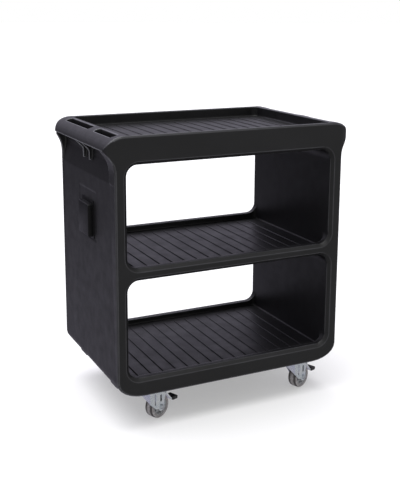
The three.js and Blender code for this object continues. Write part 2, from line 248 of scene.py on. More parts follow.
def turned(name, profile, closed=False, segments=ROUND):
    """Profile of (radius, height) in mm, turned about Z. A ring's profile closes on itself."""
    bm = bmesh.new()
    rings = []
    for radius, height in profile:
        if radius == 0:
            rings.append([bm.verts.new((0, 0, height * MM))])
            continue
        angles = (2 * math.pi * i / segments for i in range(segments))
        rings.append([
            bm.verts.new((radius * MM * math.cos(a), radius * MM * math.sin(a), height * MM))
            for a in angles
        ])
    pairs = list(zip(rings, rings[1:]))
    if closed:
        pairs.append((rings[-1], rings[0]))
    for near, far in pairs:
        for i in range(segments):
            j = (i + 1) % segments
            if len(near) == 1:
                bm.faces.new((near[0], far[j], far[i]))
            elif len(far) == 1:
                bm.faces.new((near[i], near[j], far[0]))
            else:
                bm.faces.new((near[i], near[j], far[j], far[i]))
    return object_from(bm, name)


def bore_cutter(radius, z0, z1, segments=SMALL_ROUND):
    """Plain cylinder about Z, in mm, that cuts a bore."""
    return turned("bore", [(0, z0), (radius, z0), (radius, z1), (0, z1)], segments=segments)


def laid_on_axle(obj, x=TRAIL, z=AXLE_Z):
    """Lays a piece turned about Z over, so that its axis is the axle's."""
    place = Matrix.Translation((x * MM, 0, z * MM)) @ Matrix.Rotation(math.pi / 2, 4, "X")
    obj.data.transform(place)
    return obj


def arc(centre, radius, start, end, steps):
    """Points in mm on an arc, angles in degrees."""
    angles = [math.radians(start + (end - start) * i / steps) for i in range(steps + 1)]
    return [(centre[0] + radius * math.cos(a), centre[1] + radius * math.sin(a)) for a in angles]


def rounded_outline(half_x, half_y, radius, steps=6):
    """Rectangle about the origin with round corners."""
    points = []
    for cx, cy, start in ((1, 1, 0), (-1, 1, 90), (-1, -1, 180), (1, -1, 270)):
        centre = (cx * (half_x - radius), cy * (half_y - radius))
        points += arc(centre, radius, start, start + 90, steps)
    return points


# ================================================================ body
def body_copy():
    """The body's CAD mesh with its split corners merged."""
    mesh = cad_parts["body_shell"].data.copy()
    bm = bmesh.new()
    bm.from_mesh(mesh)
    bmesh.ops.remove_doubles(bm, verts=bm.verts, dist=MERGE_DISTANCE)
    bm.to_mesh(mesh)
    bm.free()
    return new_object("trolley_body", mesh)


def rib_cutters():
    """Boxes that take the CAD body's plain ribs off each deck, down to the deck."""
    half_x = RIB_SIDE_COUNT * RIB_PITCH + RIB_CUT_MARGIN_X
    half_y = RIB_HALF_Y + RIB_CUT_MARGIN_Y
    cutters = []
    for name, z in DECKS.items():
        low = (-half_x, -half_y, z + RIB_CUT_SKIM)
        high = (half_x, half_y, z + RIB_CUT_HEIGHT)
        cutters.append(box_solid(f"{name}_cutter", low, high))
    return cutters


def field_cutter(side):
    """Sinks the end panel's field behind the front frame edge, most near the top."""
    edge, outside = END_X + FIELD_EDGE_GAP, END_X + CUTTER_REACH
    rim = FACE_Y - FIELD_RIM
    rings = []
    for z, sink, front, rear in FIELD_SECTIONS:
        ring = [
            (outside, -rim), (outside, rim), (edge, rim),
            (END_X - sink, rear), (END_X - sink, front), (edge, -rim),
        ]
        rings.append([(side * x, y, z) for x, y in ring])
    return lofted("field_cutter", rings)


def pad_cutter(side):
    """The shallow pad that the hanger block sits in."""
    half = PAD_HALF_Y
    ring = [(-half, PAD_LOW), (half, PAD_LOW), (half, PAD_HIGH), (-half, PAD_HIGH)]
    rings = [[(side * x, y, z) for y, z in ring] for x in (PAD_X, END_X + CUTTER_REACH)]
    return lofted("pad_cutter", rings)


def mark_edges(obj):
    """Stores how sharply each point stands out, for the wear and the painted highlight on edges."""
    mesh = obj.data
    count = len(mesh.vertices)
    points = np.zeros(count * 3)
    mesh.vertices.foreach_get("co", points)
    points = points.reshape(-1, 3)
    normals = np.zeros(count * 3)
    mesh.vertex_normals.foreach_get("vector", normals)
    normals = normals.reshape(-1, 3)
    pairs = np.zeros(len(mesh.edges) * 2, dtype=int)
    mesh.edges.foreach_get("vertices", pairs)
    pairs = pairs.reshape(-1, 2)
    step = points[pairs[:, 1]] - points[pairs[:, 0]]
    length = np.maximum((step ** 2).sum(1), 1e-10)
    bend = ((normals[pairs[:, 1]] - normals[pairs[:, 0]]) * step).sum(1) / length
    total, hits = np.zeros(count), np.zeros(count)
    for column in (0, 1):
        np.add.at(total, pairs[:, column], bend)
        np.add.at(hits, pairs[:, column], 1)
    bulge = np.clip(total / np.maximum(hits, 1) / FULL_BULGE, 0, 1)
    attribute = mesh.attributes.new("bulge", "FLOAT", "POINT")
    attribute.data.foreach_set("value", bulge.astype(np.float32))


def make_body():
    """The CAD body, its ribs and end fields cut back and its edges turned into moulded rounds."""
    body = body_copy()
    cutters = rib_cutters() + [field_cutter(-1), field_cutter(1), pad_cutter(-1), pad_cutter(1)]
    combine(body, cutters, "DIFFERENCE")
    remesh = body.modifiers.new("remesh", "REMESH")
    remesh.mode = "VOXEL"
    remesh.voxel_size = VOXEL
    smooth = body.modifiers.new("smooth", "SMOOTH")
    smooth.factor = 0.5
    smooth.iterations = SMOOTH_PASSES
    bake_modifiers(body)
    mark_edges(body)
    decimate = body.modifiers.new("decimate", "DECIMATE")
    decimate.ratio = KEPT_SHARE
    bake_modifiers(body)
    body.data.shade_smooth()
    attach(body, "trolley")
    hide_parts("body_shell")
    body.data.materials.clear()
    body.data.materials.append(FINISHES["polyethylene"])


def rib_rings(x, deck_z):
    """Rings of one rib: a low rounded bar with round ends, its foot sunk into the deck."""
    half = RIB_WIDTH / 2
    foot, spring = deck_z - RIB_SUNK, deck_z - RIB_ROUND_SUNK
    stations = []
    for i in range(RIB_END_STEPS + 1):
        angle = i / RIB_END_STEPS * math.pi / 2
        share = max(math.sin(angle), RIB_TIP_SHARE)
        stations.append((RIB_HALF_Y - half + half * math.cos(angle), share))
    rings = []
    for sign in (-1, 1):
        ordered = stations if sign < 0 else stations[::-1]
        for y, share in ordered:
            ring = [(x + half * share, sign * y, foot)]
            for j in range(RIB_ROUND_STEPS + 1):
                turn = j / RIB_ROUND_STEPS * math.pi
                rise = RIB_HEIGHT * share ** 0.6 * math.sin(turn) ** 0.8
                ring.append((x + half * share * math.cos(turn), sign * y, spring + rise))
            ring.append((x - half * share, sign * y, foot))
            rings.append(ring)
    return rings


def make_ribs():
    """One piece of ribs for each deck."""
    for name, deck_z in DECKS.items():
        bars = []
        for i in range(-RIB_SIDE_COUNT, RIB_SIDE_COUNT + 1):
            bars.append(lofted("rib", rib_rings(i * RIB_PITCH, deck_z)))
        ribs = merged(bars, f"{name}_deck_ribs")
        smooth_shade(ribs, 50)
        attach(ribs, "trolley")
        ribs.data.materials.append(FINISHES["polyethylene"])


def make_hanger(side, node):
    """Hanger block: a thin rounded flange with a deep, drafted boss on it."""
    low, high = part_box(node)
    flange_middle, flange_half = (low.z + high.z) / 2, (high.z - low.z) / 2
    boss_middle, boss_half = (BOSS_LOW + BOSS_HIGH) / 2, (BOSS_HIGH - BOSS_LOW) / 2
    outer = max(abs(low.x), abs(high.x)) - BLOCK_INSET

    def ring(x, half_y, half_z, middle_z, corner):
        outline = rounded_outline(half_y / MM, half_z / MM, corner)
        return [(side * x, y * MM, z * MM + middle_z) for y, z in outline]

    flange = lofted("flange", [
        ring(x, high.y, flange_half, flange_middle, 4) for x in (FLANGE_BACK, FLANGE_FRONT)
    ])
    soften(flange, 0.7)
    boss = lofted("boss", [
        ring(BOSS_ROOT, BOSS_ROOT_HALF_Y, boss_half + BOSS_ROOT_GROWTH, boss_middle, 5),
        ring(outer, BOSS_TIP_HALF_Y, boss_half - BOSS_TIP_SHRINK, boss_middle, 5),
    ])
    soften(boss, 2.0, 3)
    block = merged([flange, boss], f"{node}_block")
    smooth_shade(block)
    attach(block, "trolley")
    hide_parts(node)
    block.data.materials.append(FINISHES["block_plastic"])


# ================================================================ caster pieces, local frame
def hex_head(name, radius, height):
    """Hexagon head or nut blank standing on Z = 0, its top corners turned off."""
    chamfer, above = 1.08, height + 0.6
    blank = turned(name, [(0, 0), (radius, 0), (radius, height), (0, height)], segments=6)
    cone = turned("cone", [
        (0, -1), (radius * 1.3, -1), (radius * 1.3, height - chamfer),
        (radius * 0.93, height), (radius * 0.5, above), (0, above),
    ])
    combine(blank, [cone], "INTERSECT")
    return blank


def mount_plate():
    """Top plate with a swaged hub under it, a bore for the kingpin and four slotted bolt holes."""
    outline = rounded_outline(PLATE_HALF_X, PLATE_HALF_Y, PLATE_CORNER)
    plate = plate_xy("mount_plate", outline, PLATE_BOTTOM, PLATE_TOP)
    bottom, top = PLATE_BOTTOM - 5, PLATE_TOP + 1
    hub = turned("hub", [
        (0, RACE_TOP + 0.8), (17, RACE_TOP), (20, RACE_TOP + 0.2), (22.5, RACE_TOP + 2),
        (24, PLATE_BOTTOM + 1), (0, PLATE_BOTTOM + 1),
    ])
    holes = [bore_cutter(PLATE_BORE, bottom, top, ROUND)]
    for sx in (-1, 1):
        for sy in (-1, 1):
            hole = plate_xy("hole", rounded_outline(6.4, 4.5, 4.4), bottom, top)
            hole.data.transform(Matrix.Translation((sx * BOLT_X * MM, sy * BOLT_Y * MM, 0)))
            holes.append(hole)
    combine(plate, [hub], "UNION")
    combine(plate, holes, "DIFFERENCE")
    return soften(plate, 0.5, 1, 50)


def kingpin():
    """Rivet through the plate and the crown, with a domed head below."""
    end, head = PLATE_TOP - 0.3, CROWN_BOTTOM - 0.3
    return turned("kingpin", [
        (0, end), (KINGPIN_RADIUS - 0.6, end), (KINGPIN_RADIUS, end - 0.6), (KINGPIN_RADIUS, head),
        (9, head), (9.2, head - 0.8), (8.2, head - 2.6), (5.6, head - 4.2), (2.6, head - 4.9),
        (0, head - 5.0),
    ])


def plate_bolt():
    """Hexagon bolt and washer under the plate, its shank reaching up into the body."""
    seat, radius = PLATE_BOTTOM - 0.3, 4
    head = hex_head("head", 6.6, 4.4)
    under = Matrix.Translation((0, 0, (seat - 1.0) * MM))
    head.data.transform(under @ Matrix.Rotation(math.pi, 4, "X"))
    washer = turned("washer", [
        (0, seat - 1.3), (7.3, seat - 1.3), (7.8, seat - 0.8), (7.8, seat), (0, seat),
    ])
    shank = turned("shank", [
        (0, seat - 0.5), (radius, seat - 0.5), (radius, BOLT_END - 0.8), (radius - 0.6, BOLT_END),
        (0, BOLT_END),
    ], segments=24)
    combine(head, [washer, shank], "UNION")
    return soften(head, 0.25, 1, 50)


def ball_race():
    """Round ring between the plate's hub and the crown."""
    radius, ring_radius = 14, 1.7
    middle = (RACE_TOP + CROWN_TOP) / 2
    ring = arc((radius, middle), ring_radius, 0, 330, 11)
    return turned("ball_race", ring, closed=True)


def cheek_outline(braked, leading):
    """Side of the fork: a broad shoulder narrowing to a round foot about the axle."""
    ear_radius, foot_radius = 6.4, 12.8
    ear = [(30, 93), (35, 89), (38, 84)]
    if braked:
        ear = arc((BRAKE_PIN_X, BRAKE_PIN_Z), ear_radius, 62, -78, 7)
    foot = arc((TRAIL, AXLE_Z), foot_radius, -8, -150, 11)
    return [(GUARD_X, SHOULDER), (FORK_HALF_X, SHOULDER), *ear, (42.6, 58), *foot, *leading]


def sight_holes():
    """Two upright slots in the near cheek: one beside the guard, one above the axle."""
    slots = []
    for x, z, half_x, half_z in ((2.4, 70, 2.2, 19), (26.5, 68, 3.4, 11.5)):
        outline = rounded_outline(half_x, half_z, half_x * 0.9, 4)
        outline = [(px + x, pz + z) for px, pz in outline]
        slots.append(plate_xz("slot", outline, -CHEEK_OUT - 2, -CHEEK_IN + 2))
    return slots


def guard_panel():
    """Slanted leading panel, low at the near cheek and high at the far one."""
    outline = [
        (-CHEEK_OUT, SHOULDER), (-CHEEK_OUT, GUARD_LOW),
        (CHEEK_OUT, GUARD_HIGH), (CHEEK_OUT, SHOULDER),
    ]
    return plate_yz("guard", outline, GUARD_X, GUARD_X + CHEEK_THICK)


def axle_bosses():
    """Low round boss about the axle on the outside of each cheek."""
    bosses = []
    for sign in (-1, 1):
        boss = turned("boss", [(0, 0), (9.6, 0), (9.2, 0.9), (8.4, 1.3), (0, 1.3)])
        boss.data.transform(Matrix.Rotation(-sign * math.pi / 2, 4, "X"))
        place = (TRAIL * MM, sign * (CHEEK_OUT - 0.6) * MM, AXLE_Z * MM)
        boss.data.transform(Matrix.Translation(place))
        bosses.append(boss)
    return bosses


def fork(braked):
    """Pressed fork: domed crown, two cheeks, the near one with a raised panel, and the guard."""
    crown = turned("fork", [
        (0, CROWN_BOTTOM), (20, CROWN_BOTTOM), (24, CROWN_BOTTOM + 0.6), (24.6, CROWN_TOP - 1.4),
        (22, CROWN_TOP), (0, CROWN_TOP),
    ])
    deck = plate_xy("deck", [
        (GUARD_X, -CHEEK_OUT), (FORK_HALF_X, -CHEEK_OUT), (FORK_HALF_X, CHEEK_OUT),
        (GUARD_X, CHEEK_OUT),
    ], CROWN_BOTTOM, CROWN_TOP - 0.6)
    near = plate_xz("near", cheek_outline(braked, NEAR_LEADING), -CHEEK_OUT, -CHEEK_IN)
    far = plate_xz("far", cheek_outline(braked, FAR_LEADING), CHEEK_IN, CHEEK_OUT)
    pressed = plate_xz("pressed", [
        (5.5, CROWN_TOP - 6), (5.5, 46), (10, 41), (40, 46), (39, 74), (34, CROWN_TOP - 8),
    ], -CHEEK_OUT - 0.9, -CHEEK_IN)
    combine(crown, [deck, near, far, guard_panel(), pressed], "UNION")
    combine(crown, sight_holes(), "DIFFERENCE")
    combine(crown, axle_bosses(), "UNION")
    holes = [
        bore_cutter(FORK_BORE, CROWN_BOTTOM - 10, CROWN_TOP + 3.5, ROUND),
        laid_on_axle(bore_cutter(AXLE_BORE, -THROUGH, THROUGH)),
    ]
    if braked:
        pin_hole = bore_cutter(PIN_HOLE, -THROUGH, THROUGH, 24)
        holes.append(laid_on_axle(pin_hole, BRAKE_PIN_X, BRAKE_PIN_Z))
    combine(crown, holes, "DIFFERENCE")
    return soften(crown, 0.55, 2, 40)


def axle_bolt():
    """Axle with a hexagon head at one end and a thread's chamfer at the other."""
    end = -AXLE_SEAT - 7.2
    shank = turned("axle_bolt", [
        (0, end), (AXLE_RADIUS - 0.6, end), (AXLE_RADIUS, end + 0.6), (AXLE_RADIUS, AXLE_SEAT + 1),
        (0, AXLE_SEAT + 1),
    ], segments=SMALL_ROUND)
    head = hex_head("head", HEAD_RADIUS, 4.8)
    head.data.transform(Matrix.Translation((0, 0, AXLE_SEAT * MM)))
    combine(shank, [head], "UNION")
    soften(shank, 0.25, 1, 50)
    return laid_on_axle(shank)


def axle_nut():
    """Hexagon nut on the other end of the axle."""
    nut = hex_head("axle_nut", HEAD_RADIUS, 6.2)
    nut.data.transform(Matrix.Rotation(math.pi, 4, "X"))
    nut.data.transform(Matrix.Translation((0, 0, -AXLE_SEAT * MM)))
    combine(nut, [bore_cutter(NUT_BORE, -THROUGH, 0)], "DIFFERENCE")
    return laid_on_axle(nut)


def wheel_core():
    """Moulded wheel centre: hub, dished web with five ribs each side, and a rim under the tread."""
    core = turned("wheel_core", [
        (AXLE_BORE, -17), (9.4, -17), (10.4, -16.2), (11.4, -7.5), (22.4, -6), (24.2, -12.6),
        (25.2, -14), (26.9, -14), (26.9, 14), (25.2, 14), (24.2, 12.6), (22.4, 6), (11.4, 7.5),
        (10.4, 16.2), (9.4, 17), (AXLE_BORE, 17),
    ], closed=True)
    spokes = []
    for i in range(SPOKES):
        spoke = plate_xy("spoke", [(9, -1.3), (25, -1.3), (25, 1.3), (9, 1.3)], -12.2, 12.2)
        spoke.data.transform(Matrix.Rotation(2 * math.pi * i / SPOKES, 4, "Z"))
        spokes.append(spoke)
    combine(core, spokes, "UNION")
    soften(core, 0.4, 1, 45)
    return laid_on_axle(core)


def tread():
    """Rubber tyre: rounded shoulders, a moulding line round its crown, a groove on each wall."""
    half = [
        (27.2, 14.6), (29.6, 15.6), (30.2, 15.3), (30.8, 15.3), (31.4, 15.8), (33.4, 16),
        (35.3, 15.2), (36.7, 13.4), (37.5, 10.8), (37.9, 7.4), (WHEEL_RADIUS, 0.5), (37.8, 0.25),
    ]
    profile = half + [(radius, -side) for radius, side in half[::-1]]
    return laid_on_axle(turned("tread", profile, closed=True, segments=TREAD_ROUND))


def brake_pin():
    """Pin across the fork's ears, its ends headed over outside them."""
    end, ear = CHEEK_OUT + 1.6, CHEEK_OUT + 0.1
    half = [
        (0, end), (PIN_HEAD_RADIUS - 0.4, end), (PIN_HEAD_RADIUS, end - 0.5), (PIN_HEAD_RADIUS, ear),
        (BRAKE_PIN_RADIUS, ear),
    ]
    profile = [(radius, -side) for radius, side in half] + half[::-1]
    pin = turned("brake_pin", profile, segments=SMALL_ROUND)
    return laid_on_axle(pin, BRAKE_PIN_X, BRAKE_PIN_Z)


def brake_lever():
    """Pressed pedal arm: rolled round its pin, stiffened by two side flanges, ending in a foot."""
    radius, half = 4.4, 15
    roll = turned("brake_lever", [(0, -half), (radius, -half), (radius, half), (0, half)])
    laid_on_axle(roll, BRAKE_PIN_X, BRAKE_PIN_Z)
    arm = plate_xz("arm", [
        (48, 83.5), (52, 81.5), (80.2, 45.3), (105.2, 43.8),
        (105.2, 41.2), (79.2, 42.6), (49.5, 78), (46, 81),
    ], -12, 12)
    flange = [(50, 82.6), (54, 81), (81, 47.6), (84, 47), (84, 42.4), (79.2, 42.6), (49.5, 78)]
    flanges = [plate_xz("flange", flange, -13.4, -11.6), plate_xz("flange", flange, 11.6, 13.4)]
    combine(roll, [arm, *flanges], "UNION")
    bore = bore_cutter(LEVER_BORE, -THROUGH, THROUGH)
    laid_on_axle(bore, BRAKE_PIN_X, BRAKE_PIN_Z)
    combine(roll, [bore], "DIFFERENCE")
    return soften(roll, 0.4, 1, 45)


def pedal_pad():
    """Moulded sleeve over the foot, its upper face ribbed across for grip."""
    sleeve = plate_xz("pedal_pad", [
        (85.4, 47.4), (88.2, 48.8), (106.8, 47.6), (109, 45.2),
        (108.6, 39), (106.2, 36.6), (87.2, 37.8), (85, 40.2),
    ], -15, 15)
    foot = plate_xz("foot", [(79.2, 46), (105.6, 44.2), (105.6, 40.8), (79.2, 42.2)], -12.4, 12.4)
    first, pitch, count, depth = 89.6, 3.6, 5, 0.9
    face_x, face_z, face_fall = 88.2, 48.85, 0.064
    grooves = []
    for i in range(count):
        x = first + pitch * i
        top = face_z - (x - face_x) * face_fall
        floor = top - depth
        groove = [(x - 0.7, top + 1), (x + 0.7, top + 1), (x + 0.4, floor), (x - 0.4, floor)]
        grooves.append(plate_xz("groove", groove, -13, 13))
    combine(sleeve, [foot, *grooves], "DIFFERENCE")
    return soften(sleeve, 0.5, 2, 40)


def finished(obj, slot):
    """The mesh of a local piece, shaded and given its material."""
    smooth_shade(obj)
    obj.data.materials.clear()
    obj.data.materials.append(FINISHES[slot])
    mesh = obj.data
    bpy.data.objects.remove(obj)
    return mesh


def add_piece(node, mesh, place, body):
    """Puts a caster's piece in the place of its CAD node."""
    piece = new_object(f"{node}_made", mesh)
    piece.matrix_world = place
    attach(piece, body)
    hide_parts(node)


def caster_parts():
    """Mesh, slot and ridden body of each part: of every caster, and of a braked one besides."""
    plain = [
        (mount_plate, "zinc_plate", "trolley"),
        (kingpin, "fastener_steel", "trolley"),
        (ball_race, "fastener_steel", "swivel"),
        (axle_bolt, "fastener_steel", "swivel"),
        (axle_nut, "fastener_steel", "swivel"),
        (wheel_core, "wheel_plastic", "wheel"),
        (tread, "grey_rubber", "wheel"),
    ]
    extra = [
        (brake_pin, "fastener_steel", "swivel"),
        (brake_lever, "zinc_plate", "brake"),
        (pedal_pad, "pedal_plastic", "brake"),
    ]
    return [
        {make.__name__: (finished(make(), slot), slot, body) for make, slot, body in makers}
        for makers in (plain, extra)
    ]


def make_casters():
    """Four casters of shared meshes, the front two braked, each bolted on by four bolts."""
    plain, extra = caster_parts()
    forks = {braked: finished(fork(braked), "zinc_plate") for braked in (True, False)}
    bolt = finished(plate_bolt(), "fastener_steel")
    corners = [(sx * BOLT_X, sy * BOLT_Y) for sy in (-1, 1) for sx in (-1, 1)]
    for caster, (x, y) in CASTER_PLACES.items():
        braked = caster.startswith("front")
        fixed_place = Matrix.Translation((x, y, 0))
        turned_place = fixed_place @ Matrix.Rotation(CASTER_TURN, 4, "Z")
        parts = {**plain, "fork": (forks[braked], "zinc_plate", "swivel")}
        if braked:
            parts.update(extra)
        for part, (mesh, slot, rides) in parts.items():
            fixed = rides == "trolley"
            body = "trolley" if fixed else f"{caster}_{rides}"
            place = fixed_place if fixed else turned_place
            add_piece(f"{caster}_{part}", mesh, place, body)
        for i, (bolt_x, bolt_y) in enumerate(corners):
            place = fixed_place @ Matrix.Translation((bolt_x * MM, bolt_y * MM, 0))
            add_piece(f"{caster}_plate_bolt_{i + 1}", bolt, place, "trolley")


# ================================================================ materials
class Shader:
    """A material under construction: short calls for the nodes that the finishes share."""

    def __init__(self, name):
        self.material = bpy.data.materials.new(f"{name}_finish")
        self.material.use_nodes = True
        self.tree = self.material.node_tree
        self.bsdf = self.tree.nodes["Principled BSDF"]
        self.place = self.add("ShaderNodeTexCoord").outputs["Object"]

    def add(self, kind, **values):
        node = self.tree.nodes.new(kind)
        for key, value in values.items():
            setattr(node, key, value)
        return node

    def link(self, source, target):
        self.tree.links.new(source, target)

    def stretched(self, scale):
        node = self.add("ShaderNodeMapping")
        node.inputs["Scale"].default_value = scale
        self.link(self.place, node.inputs["Vector"])
        return node.outputs["Vector"]

    def noise(self, scale, detail=4.0, roughness=0.55, vector=None):
        node = self.add("ShaderNodeTexNoise")
        node.inputs["Scale"].default_value = scale
        node.inputs["Detail"].default_value = detail
        node.inputs["Roughness"].default_value = roughness
        self.link(vector or self.place, node.inputs["Vector"])
        return node.outputs["Fac"]

    def cells(self, scale, feature="F1"):
        node = self.add("ShaderNodeTexVoronoi", feature=feature)
        node.inputs["Scale"].default_value = scale
        self.link(self.place, node.inputs["Vector"])
        return node

    def ranged(self, value, low, high, out_low=0.0, out_high=1.0):
        node = self.add("ShaderNodeMapRange")
        limits = {"From Min": low, "From Max": high, "To Min": out_low, "To Max": out_high}
        for key, number in limits.items():
            node.inputs[key].default_value = number
        self.link(value, node.inputs["Value"])
        return node.outputs["Result"]

    def maths(self, operation, a, b):
        node = self.add("ShaderNodeMath", operation=operation)
        for slot, value in zip(node.inputs, (a, b)):
            if isinstance(value, (int, float)):
                slot.default_value = value
            else:
                self.link(value, slot)
        return node.outputs[0]

    def mixed(self, factor, a, b):
        node = self.add("ShaderNodeMix", data_type="RGBA")
        self.link(factor, node.inputs["Factor"])
        for slot, value in ((node.inputs[6], a), (node.inputs[7], b)):
            if isinstance(value, tuple):
                slot.default_value = (*value, 1)
            else:
                self.link(value, slot)
        return node.outputs[2]

    def bumps(self, *layers):
        """Stacks (height, strength, distance) layers on the surface."""
        below = None
        for height, strength, distance in layers:
            node = self.add("ShaderNodeBump")
            node.inputs["Strength"].default_value = strength
            node.inputs["Distance"].default_value = distance
            self.link(height, node.inputs["Height"])
            if below is not None:
                self.link(below, node.inputs["Normal"])
            below = node.outputs["Normal"]
        self.link(below, self.bsdf.inputs["Normal"])

    def set(self, **values):
        for key, value in values.items():
            socket = self.bsdf.inputs[key.replace("_", " ")]
            if isinstance(value, bpy.types.NodeSocket):
                self.link(value, socket)
            else:
                socket.default_value = value


def polyethylene():
    """Rotomoulded black plastic: fine pebbled skin, faint cloudiness, scuffs, and edges painted
    paler, partly as wear and partly as a painted highlight.
    """
    base, wear_and_highlight_tone = (0.0060, 0.0059, 0.0066), (0.19, 0.19, 0.21)
    cloud_gain, scratch_share, edge_wear_and_highlight_share = 1.45, 0.12, 0.65
    s = Shader("polyethylene")
    cloud = s.noise(5.0, 5.0)
    grain = s.noise(420.0, 3.0)
    scuff_field = s.noise(9.0, 2.0, 0.5)
    scratch = s.noise(60.0, 6.0, 0.7, s.stretched((1.0, 1.0, 9.0)))
    scuffed = s.ranged(scuff_field, 0.52, 0.68)
    scratches = s.maths("MULTIPLY", s.ranged(scratch, 0.60, 0.72), scuffed)
    bulge = s.add("ShaderNodeAttribute", attribute_name="bulge").outputs["Fac"]
    uneven = s.ranged(s.noise(38.0), 0.30, 0.62, 0.70, 1.0)
    # Edge mask: real wear on the rounded edges together with a painted highlight, broken into
    # patches by the noise.
    edge = s.maths("MULTIPLY", s.ranged(bulge, 0.32, 0.90), uneven)
    tone = s.mixed(s.ranged(cloud, 0.3, 0.7), base, tuple(c * cloud_gain for c in base))
    tone = s.mixed(s.maths("MULTIPLY", scratches, scratch_share), tone, wear_and_highlight_tone)
    # Mixes the pale colour into the edges, as wear and as a painted highlight.
    tone = s.mixed(s.maths("MULTIPLY", edge, edge_wear_and_highlight_share), tone, wear_and_highlight_tone)
    rough = s.ranged(s.noise(24.0, 6.0), 0.3, 0.7, 0.36, 0.48)
    rough = s.maths("ADD", rough, s.maths("MULTIPLY", scratches, 0.12))
    rough = s.maths("SUBTRACT", rough, s.maths("MULTIPLY", edge, 0.10))
    s.bumps(
        (s.noise(7.0, 2.0), 0.14, 0.0030),
        (grain, 0.35, 0.00022),
        (s.cells(900.0).outputs["Distance"], 0.25, 0.00012),
    )
    s.set(Base_Color=tone, Roughness=rough, IOR=1.40)
    return s.material


def block_plastic():
    """Injection moulded hanger block: smoother and a little glossier than the body."""
    dark, light = (0.0030, 0.0030, 0.0033), (0.0055, 0.0055, 0.0060)
    s = Shader("block_plastic")
    tone = s.mixed(s.ranged(s.noise(20.0), 0.35, 0.65), dark, light)
    rough = s.ranged(s.noise(70.0, 5.0), 0.3, 0.7, 0.28, 0.38)
    s.bumps((s.noise(900.0, 2.0), 0.2, 0.0001))
    s.set(Base_Color=tone, Roughness=rough, IOR=1.27)
    return s.material


def zinc_plate():
    """Bright zinc plating with a faint blue cast, brushed streaks and duller patches."""
    dull, bright, grimy = (0.74, 0.80, 0.86), (0.93, 0.96, 0.98), (0.22, 0.22, 0.24)
    s = Shader("zinc_plate")
    patch = s.ranged(s.noise(55.0, 5.0), 0.35, 0.65)
    streak = s.noise(90.0, 4.0, 0.6, s.stretched((1.0, 1.0, 12.0)))
    tone = s.mixed(patch, dull, bright)
    grime = s.maths("MULTIPLY", s.ranged(s.noise(140.0, 3.0), 0.58, 0.75), 0.5)
    tone = s.mixed(grime, tone, grimy)
    brushed = s.ranged(streak, 0.3, 0.7, 0.20, 0.34)
    rough = s.maths("ADD", brushed, s.maths("MULTIPLY", grime, 0.25))
    s.bumps((streak, 0.15, 0.0002), (s.noise(1500.0, 2.0), 0.12, 0.00005))
    s.set(Base_Color=tone, Roughness=rough, Metallic=1.0)
    return s.material


def fastener_steel():
    """Plated steel fasteners, greyer than the pressings, with darker patches."""
    dark, light = (0.46, 0.48, 0.52), (0.70, 0.72, 0.75)
    s = Shader("fastener_steel")
    tone = s.mixed(s.ranged(s.noise(220.0, 4.0), 0.35, 0.68), dark, light)
    rough = s.ranged(s.noise(400.0, 3.0), 0.3, 0.7, 0.26, 0.42)
    s.bumps((s.noise(1200.0, 2.0), 0.15, 0.00006))
    s.set(Base_Color=tone, Roughness=rough, Metallic=1.0)
    return s.material


def wheel_plastic():
    """Pale grey moulded wheel centre with dusty patches."""
    clean, dusty = (0.36, 0.37, 0.39), (0.22, 0.21, 0.20)
    s = Shader("wheel_plastic")
    dust = s.ranged(s.noise(120.0, 5.0), 0.45, 0.7)
    tone = s.mixed(dust, clean, dusty)
    rough = s.ranged(s.noise(200.0), 0.3, 0.7, 0.42, 0.60)
    s.bumps((s.noise(900.0, 2.0), 0.2, 0.0001))
    s.set(Base_Color=tone, Roughness=rough)
    return s.material


def grey_rubber():
    """Grey-brown rubber tyre: a pale, dusty running band and walls, and dark shoulders between."""
    band_from, band_to, wall_from, wall_to = 0.0040, 0.0080, 0.0136, 0.0150
    s = Shader("grey_rubber")
    axes = s.add("ShaderNodeSeparateXYZ")
    s.link(s.place, axes.inputs["Vector"])
    across = s.maths("ABSOLUTE", axes.outputs["Y"], 0)
    band = s.ranged(across, band_from, band_to, 1.0, 0.0)
    wear = s.ranged(s.noise(160.0, 5.0), 0.35, 0.7)
    dark = s.mixed(wear, (0.045, 0.040, 0.040), (0.085, 0.078, 0.078))
    pale = s.mixed(wear, (0.23, 0.21, 0.21), (0.37, 0.36, 0.37))
    wall = s.ranged(across, wall_from, wall_to)
    tone = s.mixed(s.maths("MAXIMUM", band, wall), dark, pale)
    rough = s.ranged(s.noise(300.0, 4.0), 0.3, 0.7, 0.50, 0.72)
    s.bumps((s.noise(500.0, 4.0), 0.4, 0.0002))
    s.set(Base_Color=tone, Roughness=rough)
    return s.material


def pedal_plastic():
    """Black moulded pedal sleeve, scuffed grey in patches."""
    black, scuffed = (0.010, 0.010, 0.010), (0.05, 0.05, 0.05)
    s = Shader("pedal_plastic")
    tone = s.mixed(s.ranged(s.noise(180.0, 5.0), 0.5, 0.72), black, scuffed)
    rough = s.ranged(s.noise(260.0), 0.3, 0.7, 0.5, 0.7)
    s.bumps((s.noise(1400.0, 2.0), 0.3, 0.0001))
    s.set(Base_Color=tone, Roughness=rough)
    return s.material


def floor_paint():
    """Plain pale floor with a little glow of its own."""
    s = Shader("pale_floor")
    tone = s.mixed(s.ranged(s.noise(0.8), 0.3, 0.7), (0.62, 0.62, 0.62), (0.64, 0.64, 0.64))
    s.set(Base_Color=tone, Roughness=0.9, Specular_IOR_Level=0.1)
    s.set(Emission_Color=(*NEUTRAL, 1), Emission_Strength=FLOOR_GLOW)
    return s.material


def make_materials():
    """Makes every finish, each under the name of its slot."""
    for make in (
        polyethylene, block_plastic, zinc_plate, fastener_steel, wheel_plastic, grey_rubber,
        pedal_plastic,
    ):
        FINISHES[make.__name__] = make()


